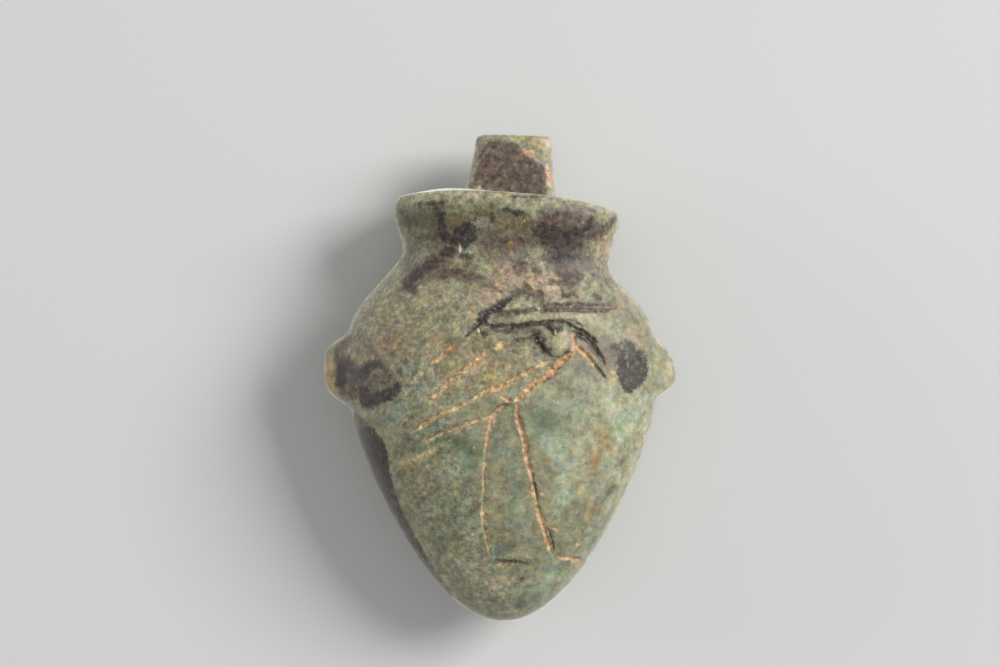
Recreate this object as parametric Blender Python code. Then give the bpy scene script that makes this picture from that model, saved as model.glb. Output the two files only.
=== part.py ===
# Heart amulet, carved from one piece of green stone.
#
# A vase-shaped heart with a pointed body, a short neck under a flared rim, a square
# suspension lug on top, a small rounded lug on each side and an incised heron on the
# front. It lies on its back: +X is to its right, +Y runs from the point to the lug and
# +Z comes out of the carved front. The origin is under the middle of its outline.

import math

import bmesh
import bpy
from mathutils import Vector
from mathutils.bvhtree import BVHTree

# Lengths along the amulet, in metres, each measured from the end of the one before
BODY_TO_BELLY = 0.0282
BELLY_TO_WAIST = 0.0133
WAIST_TO_LIP = 0.0043
LIP_TO_RIM_EDGE = 0.0014
RIM_EDGE_TO_LUG = 0.0011
LUG_HEIGHT = 0.0066

# Widths from side to side
BELLY_WIDTH = 0.0355
WAIST_WIDTH = 0.0236
LIP_WIDTH = 0.0257
RIM_EDGE_WIDTH = 0.0241
LUG_FOOT_WIDTH = 0.0105
LUG_TOP_WIDTH = 0.0087

# Depths in front of and behind the widest outline
BELLY_FRONT = 0.0095
BELLY_BACK = 0.0079
WAIST_FRONT = 0.0066
WAIST_BACK = 0.0057
LIP_FRONT = 0.0074
LIP_BACK = 0.0064
LUG_FRONT = 0.0033
LUG_BACK = 0.0031

# The flat spot worn on the back, which the amulet rests on
REST_FLAT_WEAR = 0.0004

# How far the middle line strays to the right, and how far each level falls to the right,
# as a drop over its run
POINT_SHIFT = 0.0006
BELLY_SHIFT = 0.0004
WAIST_SHIFT = 0.0009
LUG_FOOT_SHIFT = 0.0014
LUG_TOP_SHIFT = 0.0017
WAIST_SLOPE_RATIO = 0.02
LIP_SLOPE_RATIO = 0.05
RIM_EDGE_SLOPE_RATIO = 0.07
LUG_FOOT_SLOPE_RATIO = 0.11
LUG_TOP_SLOPE_RATIO = 0.02

# How much higher the rim stands in front and behind than at its sides, and how broad its
# arch is
RIM_ARCH = 0.0011
RIM_ARCH_POWER = 2.5

# Side lugs: how far each stands out, its level above the belly, its reach up and down
# along the edge, how square it is, and half its thickness from front to back
LEFT_LUG_OUT = 0.0025
LEFT_LUG_RISE = 0.0002
LEFT_LUG_UP = 0.0043
LEFT_LUG_DOWN = 0.0044
LEFT_LUG_FULLNESS_POWER = 4.0
RIGHT_LUG_OUT = 0.0020
RIGHT_LUG_RISE = -0.0004
RIGHT_LUG_UP = 0.0045
RIGHT_LUG_DOWN = 0.0028
RIGHT_LUG_FULLNESS_POWER = 2.5
SIDE_LUG_HALF_THICKNESS = 0.0046

# Suspension hole through the top lug, from side to side
BORE_DIAMETER = 0.0022

# Incised strokes, as the width of each cut at the surface and the depth of the deepest
WIDE_CUT = 0.00085
MIDDLE_CUT = 0.00060
FINE_CUT = 0.00045
CUT_DEPTH_RATIO = 0.42
STROKE_STEP = 0.0013

# Curves of the body: the flanks run out from the point as a parabola, swollen by a share
# of their width, and turn upright at the belly, and the shoulder leaves the belly round
# and sweeps in to the waist
FLANK_SWELL_RATIO = 0.10
FLANK_TURN_POWER = 5.5
POINT_ROUND_POWER = 1.7
POINT_BLUNT_POWER = 0.55
SHOULDER_ROUND_POWER = 3.2
SHOULDER_SWEEP_POWER = 2.2
SIDE_LUG_SOFTNESS_POWER = 1.5

# Corners of the suspension lug, as a share of its smallest half, and how much of its
# narrowing is straight and not in the fillet at its foot
LUG_CORNER_RATIO = 0.25
LUG_STRAIGHT_RATIO = 0.65

# Rounding of the cross-sections: 2 is an ellipse, more is squarer
BODY_ROUNDING_POWER = 2.2
RIM_ROUNDING_POWER = 2.3
LUG_ROUNDING_POWER = 5.5

# Facets
AROUND = 52
RINGS_TO_BELLY = 24
CLOSER_AT_POINT_POWER = 1.5
RINGS_TO_WAIST = 12
RINGS_TO_LIP = 5
RINGS_ROUND_RIM = 4
RINGS_ON_TOP = 3
RINGS_UP_LUG = 6
RINGS_ROUND_LUG_TOP = 3

# The stone
STONE_COLOUR = (0.19, 0.20, 0.13, 1.0)
STONE_ROUGHNESS = 0.42

BELLY_LEVEL = BODY_TO_BELLY
WAIST_LEVEL = BELLY_LEVEL + BELLY_TO_WAIST
LIP_LEVEL = WAIST_LEVEL + WAIST_TO_LIP
RIM_EDGE_LEVEL = LIP_LEVEL + LIP_TO_RIM_EDGE
LUG_FOOT_LEVEL = RIM_EDGE_LEVEL + RIM_EDGE_TO_LUG
LUG_TOP_LEVEL = LUG_FOOT_LEVEL + LUG_HEIGHT

# The heron was set out on a grid of squares that fills the front of the body
SQUARE_COUNT_ACROSS = 35.5
SQUARE_COUNT_UP = 41.5
SQUARE_WIDTH = BELLY_WIDTH / SQUARE_COUNT_ACROSS
SQUARE_HEIGHT = WAIST_LEVEL / SQUARE_COUNT_UP

# Each stroke: its cut, then the squares it passes through, across from the middle line
# and up from the point
HERON_STROKES = {
    "crown": (FINE_CUT, [(1.0, 36.7), (2.6, 37.3), (4.0, 37.1), (4.8, 35.9)]),
    "crest": (WIDE_CUT, [(1.2, 36.3), (-0.4, 35.1), (-2.5, 33.6), (-3.8, 32.3)]),
    "face": (MIDDLE_CUT, [(-0.7, 34.5), (1.9, 34.8), (4.2, 35.1)]),
    "bill": (WIDE_CUT, [(4.6, 35.35), (9.6, 35.4), (13.0, 35.3)]),
    "neck": (MIDDLE_CUT, [(-2.4, 33.8), (-0.4, 33.1), (3.1, 33.5), (7.0, 34.0)]),
    "throat": (MIDDLE_CUT, [(7.3, 33.8), (9.3, 32.9), (10.9, 31.4)]),
    "breast": (WIDE_CUT, [(7.9, 32.8), (9.8, 31.7), (11.4, 29.5)]),
    "lower breast": (MIDDLE_CUT, [(8.3, 31.0), (9.9, 30.0), (11.0, 28.6)]),
    "shoulder back": (MIDDLE_CUT, [(3.3, 31.7), (4.4, 31.1), (5.7, 30.2)]),
    "shoulder front": (MIDDLE_CUT, [(7.9, 32.3), (8.3, 31.3), (7.8, 30.4)]),
    "belly": (WIDE_CUT, [(7.5, 30.2), (6.2, 28.6), (3.7, 26.7), (1.6, 25.0), (-0.7, 23.7)]),
    "upper wing": (FINE_CUT, [(-4.8, 31.7), (-7.4, 29.5), (-9.8, 27.0)]),
    "middle wing": (MIDDLE_CUT, [(3.3, 31.8), (0.0, 30.8), (-3.1, 29.7), (-5.5, 26.9), (-7.7, 24.9)]),
    "lower wing": (FINE_CUT, [(4.8, 29.5), (1.0, 26.9), (-2.2, 25.3), (-6.2, 23.8), (-9.3, 21.7)]),
    "tail": (FINE_CUT, [(-0.7, 23.7), (-3.1, 22.9), (-7.3, 21.0)]),
    "tail end": (FINE_CUT, [(-10.0, 22.7), (-10.2, 20.8), (-10.3, 19.0)]),
    "left leg": (FINE_CUT, [(-0.9, 23.1), (-1.6, 20.2), (-1.8, 15.6), (-1.9, 11.6), (-1.1, 7.8)]),
    "right leg": (WIDE_CUT, [(1.8, 24.7), (2.5, 21.0), (3.3, 16.5), (4.4, 12.6), (5.9, 7.9)]),
    "left foot": (MIDDLE_CUT, [(-0.6, 7.4), (1.4, 7.1), (3.3, 6.8)]),
    "right foot": (MIDDLE_CUT, [(6.5, 7.6), (9.5, 7.1)]),
}


def clear_scene():
    for obj in list(bpy.data.objects):
        bpy.data.objects.remove(obj, do_unlink=True)


def new_collection(name):
    collection = bpy.data.collections.new(name)
    bpy.context.scene.collection.children.link(collection)
    return collection


def mix(start, end, share):
    return start + (end - start) * share


def ease(share):
    return share * share * (3.0 - 2.0 * share)


def make_section(level, half_width, front, back, shift, slope, rounding, arch=0.0):
    return {
        "level": level,
        "half_width": half_width,
        "front": front,
        "back": back,
        "shift": shift,
        "slope": slope,
        "rounding": rounding,
        "arch": arch,
    }


def lower_body_section(share):
    """From the point, share 0, to the belly, share 1: a blunt pointed curve."""
    width_curve = (1.0 + FLANK_SWELL_RATIO) * share ** 0.5 - FLANK_SWELL_RATIO * share ** FLANK_TURN_POWER
    depth_curve = (1.0 - (1.0 - share) ** POINT_ROUND_POWER) ** POINT_BLUNT_POWER
    return make_section(
        BELLY_LEVEL * share,
        BELLY_WIDTH / 2 * width_curve,
        BELLY_FRONT * depth_curve,
        BELLY_BACK * depth_curve,
        mix(POINT_SHIFT, BELLY_SHIFT, share),
        0.0,
        BODY_ROUNDING_POWER,
    )


def shoulder_section(share):
    """From the belly, share 0, to the waist, share 1."""
    fullness = (1.0 - share ** SHOULDER_ROUND_POWER) ** SHOULDER_SWEEP_POWER
    return make_section(
        mix(BELLY_LEVEL, WAIST_LEVEL, share),
        mix(WAIST_WIDTH / 2, BELLY_WIDTH / 2, fullness),
        mix(WAIST_FRONT, BELLY_FRONT, fullness),
        mix(WAIST_BACK, BELLY_BACK, fullness),
        BELLY_SHIFT * (1.0 - share) + WAIST_SHIFT * share ** 8,
        WAIST_SLOPE_RATIO * share ** 3,
        mix(BODY_ROUNDING_POWER, RIM_ROUNDING_POWER, share),
    )


def collar_section(share):
    """The flare from the waist to the lip of the rim."""
    flare = ease(share)
    return make_section(
        mix(WAIST_LEVEL, LIP_LEVEL, share),
        mix(WAIST_WIDTH / 2, LIP_WIDTH / 2, flare),
        mix(WAIST_FRONT, LIP_FRONT, flare),
        mix(WAIST_BACK, LIP_BACK, flare),
        WAIST_SHIFT,
        mix(WAIST_SLOPE_RATIO, LIP_SLOPE_RATIO, share),
        RIM_ROUNDING_POWER,
        RIM_ARCH * flare,
    )


def rim_edge_section(share):
    """The lip turns over to the top of the rim in a quarter round."""
    inward = 1.0 - math.cos(share * math.pi / 2)
    turn = (LIP_WIDTH - RIM_EDGE_WIDTH) / 2
    return make_section(
        mix(LIP_LEVEL, RIM_EDGE_LEVEL, math.sin(share * math.pi / 2)),
        LIP_WIDTH / 2 - turn * inward,
        LIP_FRONT - turn * inward,
        LIP_BACK - turn * inward,
        WAIST_SHIFT,
        mix(LIP_SLOPE_RATIO, RIM_EDGE_SLOPE_RATIO, share),
        RIM_ROUNDING_POWER,
        RIM_ARCH,
    )


def rim_top_section(share):
    """The top of the rim, which climbs from the sides to the foot of the lug."""
    turn = (LIP_WIDTH - RIM_EDGE_WIDTH) / 2
    climb = math.sin(share * math.pi / 2)
    return make_section(
        mix(RIM_EDGE_LEVEL, LUG_FOOT_LEVEL, climb),
        mix(RIM_EDGE_WIDTH / 2, LUG_FOOT_WIDTH / 2, share),
        mix(LIP_FRONT - turn, LUG_FRONT, share),
        mix(LIP_BACK - turn, LUG_BACK, share),
        mix(WAIST_SHIFT, LUG_FOOT_SHIFT, share),
        mix(RIM_EDGE_SLOPE_RATIO, LUG_FOOT_SLOPE_RATIO, share),
        mix(RIM_ROUNDING_POWER, LUG_ROUNDING_POWER, share ** 2),
        RIM_ARCH * (1.0 - climb),
    )


def lug_corner_radius():
    return min(LUG_TOP_WIDTH / 2, LUG_FRONT, LUG_BACK, LUG_HEIGHT) * LUG_CORNER_RATIO


def lug_section(share):
    """The sides of the lug, with a small fillet at the foot."""
    narrowing = mix(1.0 - (1.0 - share) ** 4, share, LUG_STRAIGHT_RATIO)
    top = LUG_TOP_LEVEL - lug_corner_radius()
    return make_section(
        mix(LUG_FOOT_LEVEL, top, share),
        mix(LUG_FOOT_WIDTH / 2, LUG_TOP_WIDTH / 2, narrowing),
        LUG_FRONT,
        LUG_BACK,
        mix(LUG_FOOT_SHIFT, LUG_TOP_SHIFT, share),
        mix(LUG_FOOT_SLOPE_RATIO, LUG_TOP_SLOPE_RATIO, share),
        LUG_ROUNDING_POWER,
    )


def lug_top_section(share):
    """The lug's worn top corners."""
    radius = lug_corner_radius()
    inward = radius * (1.0 - math.cos(share * math.pi / 2))
    return make_section(
        LUG_TOP_LEVEL - radius + radius * math.sin(share * math.pi / 2),
        LUG_TOP_WIDTH / 2 - inward,
        LUG_FRONT - inward,
        LUG_BACK - inward,
        LUG_TOP_SHIFT,
        LUG_TOP_SLOPE_RATIO,
        LUG_ROUNDING_POWER,
    )


def all_sections():
    """Every ring from just above the point to the top of the lug."""
    zones = [
        (lower_body_section, RINGS_TO_BELLY, lambda share: share ** CLOSER_AT_POINT_POWER),
        (shoulder_section, RINGS_TO_WAIST, lambda share: share),
        (collar_section, RINGS_TO_LIP, lambda share: share),
        (rim_edge_section, RINGS_ROUND_RIM, lambda share: share),
        (rim_top_section, RINGS_ON_TOP, lambda share: share),
        (lug_section, RINGS_UP_LUG, lambda share: share),
        (lug_top_section, RINGS_ROUND_LUG_TOP, lambda share: share),
    ]
    sections = []
    for build_section, count, spacing in zones:
        for index in range(1, count + 1):
            sections.append(build_section(spacing(index / count)))
    return sections


def bump(distance, reach, fullness):
    """1 at the middle of a lug, falling smoothly to 0 at its reach."""
    share = min(1.0, abs(distance) / reach)
    return (1.0 - share ** fullness) ** SIDE_LUG_SOFTNESS_POWER


def side_lug_push(point, section):
    """How far the surface is pushed outwards along X at a point of a ring."""
    off_middle = point.x - section["shift"]
    if off_middle < 0.0:
        out, rise = -LEFT_LUG_OUT, LEFT_LUG_RISE
        up, down, fullness = LEFT_LUG_UP, LEFT_LUG_DOWN, LEFT_LUG_FULLNESS_POWER
    else:
        out, rise = RIGHT_LUG_OUT, RIGHT_LUG_RISE
        up, down, fullness = RIGHT_LUG_UP, RIGHT_LUG_DOWN, RIGHT_LUG_FULLNESS_POWER
    height = point.y - BELLY_LEVEL - rise
    along = bump(height, up if height > 0.0 else down, fullness)
    across = bump(point.z, SIDE_LUG_HALF_THICKNESS, 2.0)
    sideways = abs(off_middle) / section["half_width"]
    return out * along * across * sideways


def ring_points(section):
    points = []
    for index in range(AROUND):
        angle = 2.0 * math.pi * index / AROUND
        across = math.cos(angle)
        outward = math.sin(angle)
        n = section["rounding"]
        stretch = (abs(across) ** n + abs(outward) ** n) ** (-1.0 / n)
        depth = section["front"] if outward > 0.0 else section["back"]
        off_middle = section["half_width"] * across * stretch
        rise = section["arch"] * (1.0 - abs(across * stretch) ** RIM_ARCH_POWER)
        point = Vector((
            section["shift"] + off_middle,
            section["level"] - section["slope"] * off_middle + rise,
            depth * outward * stretch,
        ))
        point.x += side_lug_push(point, section)
        points.append(point)
    return points


def build_blank(collection):
    """The smooth blank before engraving: one skin over all the rings."""
    bm = bmesh.new()
    rings = []
    for section in all_sections():
        rings.append([bm.verts.new(point) for point in ring_points(section)])
    tip = bm.verts.new((POINT_SHIFT, 0.0, 0.0))
    first, last = rings[0], rings[-1]
    for index in range(AROUND):
        after = (index + 1) % AROUND
        bm.faces.new((tip, first[after], first[index]))
    for lower, upper in zip(rings, rings[1:]):
        for index in range(AROUND):
            after = (index + 1) % AROUND
            bm.faces.new((lower[index], lower[after], upper[after], upper[index]))
    bm.faces.new(list(last))
    bmesh.ops.recalc_face_normals(bm, faces=bm.faces)
    mesh = bpy.data.meshes.new("heart_amulet")
    bm.to_mesh(mesh)
    bm.free()
    blank = bpy.data.objects.new("heart_amulet", mesh)
    collection.objects.link(blank)
    return blank


def hide_cutter(cutter):
    cutter.hide_render = True
    cutter.display_type = "WIRE"


def cut_away(piece, cutter):
    """Take the cutter's shape out of the piece for good."""
    modifier = piece.modifiers.new(cutter.name, "BOOLEAN")
    modifier.operation = "DIFFERENCE"
    modifier.solver = "EXACT"
    modifier.object = cutter
    apply_modifiers(piece)


def apply_modifiers(piece):
    depsgraph = bpy.context.evaluated_depsgraph_get()
    finished = bpy.data.meshes.new_from_object(piece.evaluated_get(depsgraph))
    finished.name = piece.name
    old = piece.data
    piece.modifiers.clear()
    piece.data = finished
    bpy.data.meshes.remove(old)


def smooth_path(corners):
    """Points STROKE_STEP apart on a smooth curve through the corners."""
    padded = [corners[0] * 2 - corners[1]] + corners + [corners[-1] * 2 - corners[-2]]
    path = [corners[0]]
    for before, start, end, after in zip(padded, padded[1:], padded[2:], padded[3:]):
        pieces = max(1, round((end - start).length / STROKE_STEP))
        for index in range(1, pieces + 1):
            t = index / pieces
            swing = (end - before) * t + (before * 2 - start * 5 + end * 4 - after) * t ** 2
            bend = (start * 3 - before - end * 3 + after) * t ** 3
            path.append(start + (swing + bend) * 0.5)
    return path


def stroke_path(squares, surface):
    """A stroke's corners on the grid, laid on the curved front of the blank."""
    corners = [Vector((x * SQUARE_WIDTH, y * SQUARE_HEIGHT, 0.0)) for x, y in squares]
    far_in_front = BELLY_FRONT * 2
    path = []
    for point in smooth_path(corners):
        above = Vector((point.x, point.y, far_in_front))
        place, normal, _, _ = surface.ray_cast(above, Vector((0.0, 0.0, -1.0)))
        if place is not None:
            path.append((place, normal))
    return path


def build_stroke(name, width, squares, surface, collection):
    """A tapered round tool sunk along a stroke, as one closed solid."""
    depth = width * CUT_DEPTH_RATIO
    radius = (width ** 2 / 4 + depth ** 2) / (2 * depth)
    path = stroke_path(squares, surface)
    curve = bpy.data.curves.new(name, "CURVE")
    curve.dimensions = "3D"
    curve.bevel_depth = radius
    curve.bevel_resolution = 1
    curve.use_fill_caps = True
    spline = curve.splines.new("POLY")
    spline.points.add(len(path) - 1)
    for index, (place, normal) in enumerate(path):
        is_end = index in (0, len(path) - 1)
        thinning = 0.6 if is_end else 1.0
        centre = place + normal * (radius - depth) * thinning
        spline.points[index].co = (*centre, 1.0)
        spline.points[index].radius = thinning
    guide = bpy.data.objects.new(name + " guide", curve)
    collection.objects.link(guide)
    depsgraph = bpy.context.evaluated_depsgraph_get()
    mesh = bpy.data.meshes.new_from_object(guide.evaluated_get(depsgraph))
    bm = bmesh.new()
    bm.from_mesh(mesh)
    bmesh.ops.remove_doubles(bm, verts=bm.verts, dist=0.00001)
    bmesh.ops.recalc_face_normals(bm, faces=bm.faces)
    bm.to_mesh(mesh)
    bm.free()
    cutter = bpy.data.objects.new(name + " cutter", mesh)
    cutter.matrix_world = guide.matrix_world
    collection.objects.link(cutter)
    bpy.data.objects.remove(guide, do_unlink=True)
    hide_cutter(cutter)
    return cutter


def build_bore_cutter(collection):
    length = LUG_FOOT_WIDTH * 2
    middle = (LUG_FOOT_LEVEL + LUG_TOP_LEVEL) / 2
    bpy.ops.mesh.primitive_cylinder_add(vertices=20, radius=BORE_DIAMETER / 2, depth=length)
    cutter = bpy.context.object
    cutter.name = "bore cutter"
    cutter.rotation_euler = (0.0, math.pi / 2, 0.0)
    cutter.location = (LUG_TOP_SHIFT, middle, (LUG_FRONT - LUG_BACK) / 2)
    move_to(cutter, collection)
    hide_cutter(cutter)
    return cutter


def build_rest_cutter(collection):
    """Everything behind the worn flat spot on the back."""
    size = LUG_TOP_LEVEL * 2
    bpy.ops.mesh.primitive_cube_add(size=size)
    cutter = bpy.context.object
    cutter.name = "rest flat cutter"
    cutter.location = (0.0, BELLY_LEVEL, REST_FLAT_WEAR - BELLY_BACK - size / 2)
    move_to(cutter, collection)
    hide_cutter(cutter)
    return cutter


def move_to(obj, collection):
    for old in list(obj.users_collection):
        old.objects.unlink(obj)
    collection.objects.link(obj)


def stone_material():
    material = bpy.data.materials.new("green stone")
    material.use_nodes = True
    shader = material.node_tree.nodes["Principled BSDF"]
    shader.inputs["Base Color"].default_value = STONE_COLOUR
    shader.inputs["Roughness"].default_value = STONE_ROUGHNESS
    shader.inputs["Metallic"].default_value = 0.0
    return material


def settle_on_origin(piece):
    """Lay the piece on the ground with its outline centred on the origin."""
    places = [vertex.co for vertex in piece.data.vertices]
    middle_x = (min(p.x for p in places) + max(p.x for p in places)) / 2
    middle_y = (min(p.y for p in places) + max(p.y for p in places)) / 2
    lowest = min(p.z for p in places)
    for vertex in piece.data.vertices:
        vertex.co -= Vector((middle_x, middle_y, lowest))


def build_amulet():
    parts = new_collection("heart amulet")
    cutters = new_collection("cutters")
    amulet = build_blank(parts)
    surface = BVHTree.FromObject(amulet, bpy.context.evaluated_depsgraph_get())
    tools = [build_rest_cutter(cutters), build_bore_cutter(cutters)]
    for name, (width, squares) in HERON_STROKES.items():
        tools.append(build_stroke(name, width, squares, surface, cutters))
    for tool in tools:
        cut_away(amulet, tool)
    settle_on_origin(amulet)
    amulet.data.materials.clear()
    amulet.data.materials.append(stone_material())
    amulet.data.shade_smooth()
    amulet.data.set_sharp_from_angle(angle=math.radians(35.0))


clear_scene()
build_amulet()
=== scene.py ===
import math

import bmesh
import bpy
import numpy as np
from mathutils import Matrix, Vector, noise


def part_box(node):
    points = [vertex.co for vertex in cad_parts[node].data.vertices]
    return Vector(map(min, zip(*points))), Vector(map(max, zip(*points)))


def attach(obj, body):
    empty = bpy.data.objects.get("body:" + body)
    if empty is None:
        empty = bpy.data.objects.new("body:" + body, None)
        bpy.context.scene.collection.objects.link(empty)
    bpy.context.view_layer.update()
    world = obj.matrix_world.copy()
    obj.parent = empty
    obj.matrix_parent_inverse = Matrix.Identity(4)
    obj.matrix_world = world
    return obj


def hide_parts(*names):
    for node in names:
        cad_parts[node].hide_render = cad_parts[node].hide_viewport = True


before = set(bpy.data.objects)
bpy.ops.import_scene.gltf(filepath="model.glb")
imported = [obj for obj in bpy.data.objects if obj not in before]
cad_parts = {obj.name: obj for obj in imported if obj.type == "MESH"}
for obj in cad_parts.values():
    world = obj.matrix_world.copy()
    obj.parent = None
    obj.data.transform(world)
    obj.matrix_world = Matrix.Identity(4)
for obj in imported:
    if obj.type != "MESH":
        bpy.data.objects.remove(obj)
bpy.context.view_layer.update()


# The view. The amulet lies on its back on a pale table and the camera looks straight down
# on its carved front, through a long lens, so that its outline fills the frame as it does
# when it hangs.
low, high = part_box("heart_amulet")
LENGTH_MM = 55.0
MM = (high.y - low.y) / LENGTH_MM
POINT_Y = low.y
MIDDLE_DEPTH = 7.5
PIXEL_MM = LENGTH_MM / 486.0
FRAME_WIDTH_PX = 1000
FRAME_MIDDLE_Y_PX = 333.5
AMULET_MIDDLE_Y_PX = 378.0
LENS = 100.0
SENSOR = 36.0

lens_distance = FRAME_WIDTH_PX * PIXEL_MM * LENS / SENSOR
camera_data = bpy.data.cameras.new("camera")
camera_data.lens = LENS
camera_data.sensor_width = SENSOR
camera_data.clip_start = 0.01
camera_data.clip_end = 20.0
camera = bpy.data.objects.new("camera", camera_data)
bpy.context.scene.collection.objects.link(camera)
camera.location = (
    0.0,
    (AMULET_MIDDLE_Y_PX - FRAME_MIDDLE_Y_PX) * PIXEL_MM * MM,
    (MIDDLE_DEPTH + lens_distance) * MM,
)
bpy.context.scene.camera = camera
bpy.context.scene.view_settings.view_transform = "Standard"


# The blank. One lump of mottled green stone, ground to a vase-shaped heart: a pointed body,
# a short neck under a flared rim, a square suspension lug and a rounded lug on each side.
# All of it is one piece, so the mesh is one skin of rings from the point to the lug.
# Levels above the point, half widths, depths in front and behind, and shifts to the right, in mm
BELLY, WAIST, LIP, RIM_EDGE, LUG_FOOT, LUG_TOP = 28.2, 41.5, 45.8, 47.2, 48.3, 54.9
BELLY_HALF, WAIST_HALF, LIP_HALF, LUG_FOOT_HALF, LUG_TOP_HALF = 17.75, 11.8, 12.85, 5.25, 4.35
BELLY_FRONT, WAIST_FRONT, LIP_FRONT, LUG_FRONT = 9.5, 6.6, 7.4, 3.3
BELLY_BACK, WAIST_BACK, LIP_BACK, LUG_BACK = 7.9, 5.7, 6.4, 3.1
POINT_SHIFT, BELLY_SHIFT, WAIST_SHIFT, LUG_FOOT_SHIFT, LUG_TOP_SHIFT = 0.6, 0.4, 0.9, 1.4, 1.7
# How far each ring falls to the right for each mm across, and how square its outline is
WAIST_FALL, LIP_FALL, RIM_EDGE_FALL, LUG_FOOT_FALL, LUG_TOP_FALL = 0.02, 0.05, 0.07, 0.11, 0.02
BODY_SQUARENESS, RIM_SQUARENESS, LUG_SQUARENESS = 2.2, 2.3, 5.5
RIM_ARCH = 1.1
CORNER = 0.8
AROUND = 216
SIDE_LUGS = {
    "left": {"side": -1, "out": 2.5, "rise": 0.2, "up": 4.3, "down": 4.4, "fullness": 4.0},
    "right": {"side": 1, "out": 2.0, "rise": -0.4, "up": 4.5, "down": 2.8, "fullness": 2.5},
}
SIDE_LUG_HALF_THICKNESS = 4.6


def mix(start, end, share):
    return start + (end - start) * share


def ease(share):
    return share * share * (3.0 - 2.0 * share)


def rings(shares, level, half_width, front, back, shift, fall, squareness, arch=0.0):
    """One row for each ring; any of the sizes may be a number or change along the shares."""
    columns = (level, half_width, front, back, shift, fall, squareness, arch)
    return np.column_stack([column + 0.0 * shares for column in columns])


def lower_body_rings():
    share = (np.arange(1, 85) / 84) ** 1.5
    flank = 1.1 * share ** 0.5 - 0.1 * share ** 5.5
    depth = (1.0 - (1.0 - share) ** 1.7) ** 0.55
    shift = mix(POINT_SHIFT, BELLY_SHIFT, share)
    return rings(share, BELLY * share, BELLY_HALF * flank, BELLY_FRONT * depth, BELLY_BACK * depth, shift,
                 0.0, BODY_SQUARENESS)


def shoulder_rings():
    share = np.arange(1, 35) / 34
    full = (1.0 - share ** 3.2) ** 2.2
    shift = BELLY_SHIFT * (1.0 - share) + WAIST_SHIFT * share ** 8
    return rings(share, mix(BELLY, WAIST, share), mix(WAIST_HALF, BELLY_HALF, full),
                 mix(WAIST_FRONT, BELLY_FRONT, full), mix(WAIST_BACK, BELLY_BACK, full), shift,
                 WAIST_FALL * share ** 3, mix(BODY_SQUARENESS, RIM_SQUARENESS, share))


def collar_rings():
    share = np.arange(1, 14) / 13
    flare = ease(share)
    return rings(share, mix(WAIST, LIP, share), mix(WAIST_HALF, LIP_HALF, flare),
                 mix(WAIST_FRONT, LIP_FRONT, flare), mix(WAIST_BACK, LIP_BACK, flare), WAIST_SHIFT,
                 mix(WAIST_FALL, LIP_FALL, share), RIM_SQUARENESS, RIM_ARCH * flare)


def rim_edge_rings():
    share = np.arange(1, 9) / 8
    turn = CORNER * (1.0 - np.cos(share * math.pi / 2))
    level = mix(LIP, RIM_EDGE, np.sin(share * math.pi / 2))
    return rings(share, level, LIP_HALF - turn, LIP_FRONT - turn, LIP_BACK - turn, WAIST_SHIFT,
                 mix(LIP_FALL, RIM_EDGE_FALL, share), RIM_SQUARENESS, RIM_ARCH)


def rim_top_rings():
    share = np.arange(1, 19) / 18
    climb = np.sin(share * math.pi / 2)
    return rings(share, mix(RIM_EDGE, LUG_FOOT, climb), mix(LIP_HALF - CORNER, LUG_FOOT_HALF, share),
                 mix(LIP_FRONT - CORNER, LUG_FRONT, share), mix(LIP_BACK - CORNER, LUG_BACK, share),
                 mix(WAIST_SHIFT, LUG_FOOT_SHIFT, share), mix(RIM_EDGE_FALL, LUG_FOOT_FALL, share),
                 mix(RIM_SQUARENESS, LUG_SQUARENESS, share ** 2), RIM_ARCH * (1.0 - climb))


def lug_rings():
    share = np.arange(1, 17) / 16
    narrowing = mix(1.0 - (1.0 - share) ** 4, share, 0.65)
    return rings(share, mix(LUG_FOOT, LUG_TOP - CORNER, share), mix(LUG_FOOT_HALF, LUG_TOP_HALF, narrowing),
                 LUG_FRONT, LUG_BACK, mix(LUG_FOOT_SHIFT, LUG_TOP_SHIFT, share),
                 mix(LUG_FOOT_FALL, LUG_TOP_FALL, share), LUG_SQUARENESS)


def lug_top_rings():
    share = np.arange(1, 7) / 6
    turn = CORNER * (1.0 - np.cos(share * math.pi / 2))
    level = LUG_TOP - CORNER + CORNER * np.sin(share * math.pi / 2)
    return rings(share, level, LUG_TOP_HALF - turn, LUG_FRONT - turn, LUG_BACK - turn, LUG_TOP_SHIFT,
                 LUG_TOP_FALL, LUG_SQUARENESS)


def lug_cap_rings():
    share = 1.0 - np.arange(1, 8) / 8
    return rings(share, LUG_TOP, (LUG_TOP_HALF - CORNER) * share, (LUG_FRONT - CORNER) * share,
                 (LUG_BACK - CORNER) * share, LUG_TOP_SHIFT, LUG_TOP_FALL, mix(3.0, LUG_SQUARENESS, share))


def side_lug_push(x, y, z, half_width):
    """The side lugs swell out of the flanks, blunt in front and behind."""
    push = np.zeros_like(x)
    for lug in SIDE_LUGS.values():
        height = y - BELLY - lug["rise"]
        reach = np.where(height > 0.0, lug["up"], lug["down"])
        along = (1.0 - np.minimum(1.0, np.abs(height) / reach) ** lug["fullness"]) ** 1.5
        across = (1.0 - np.minimum(1.0, np.abs(z) / SIDE_LUG_HALF_THICKNESS) ** 2) ** 1.5
        sideways = np.clip(x * lug["side"] / half_width, 0.0, None)
        push += lug["side"] * lug["out"] * along * across * sideways
    return push


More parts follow.
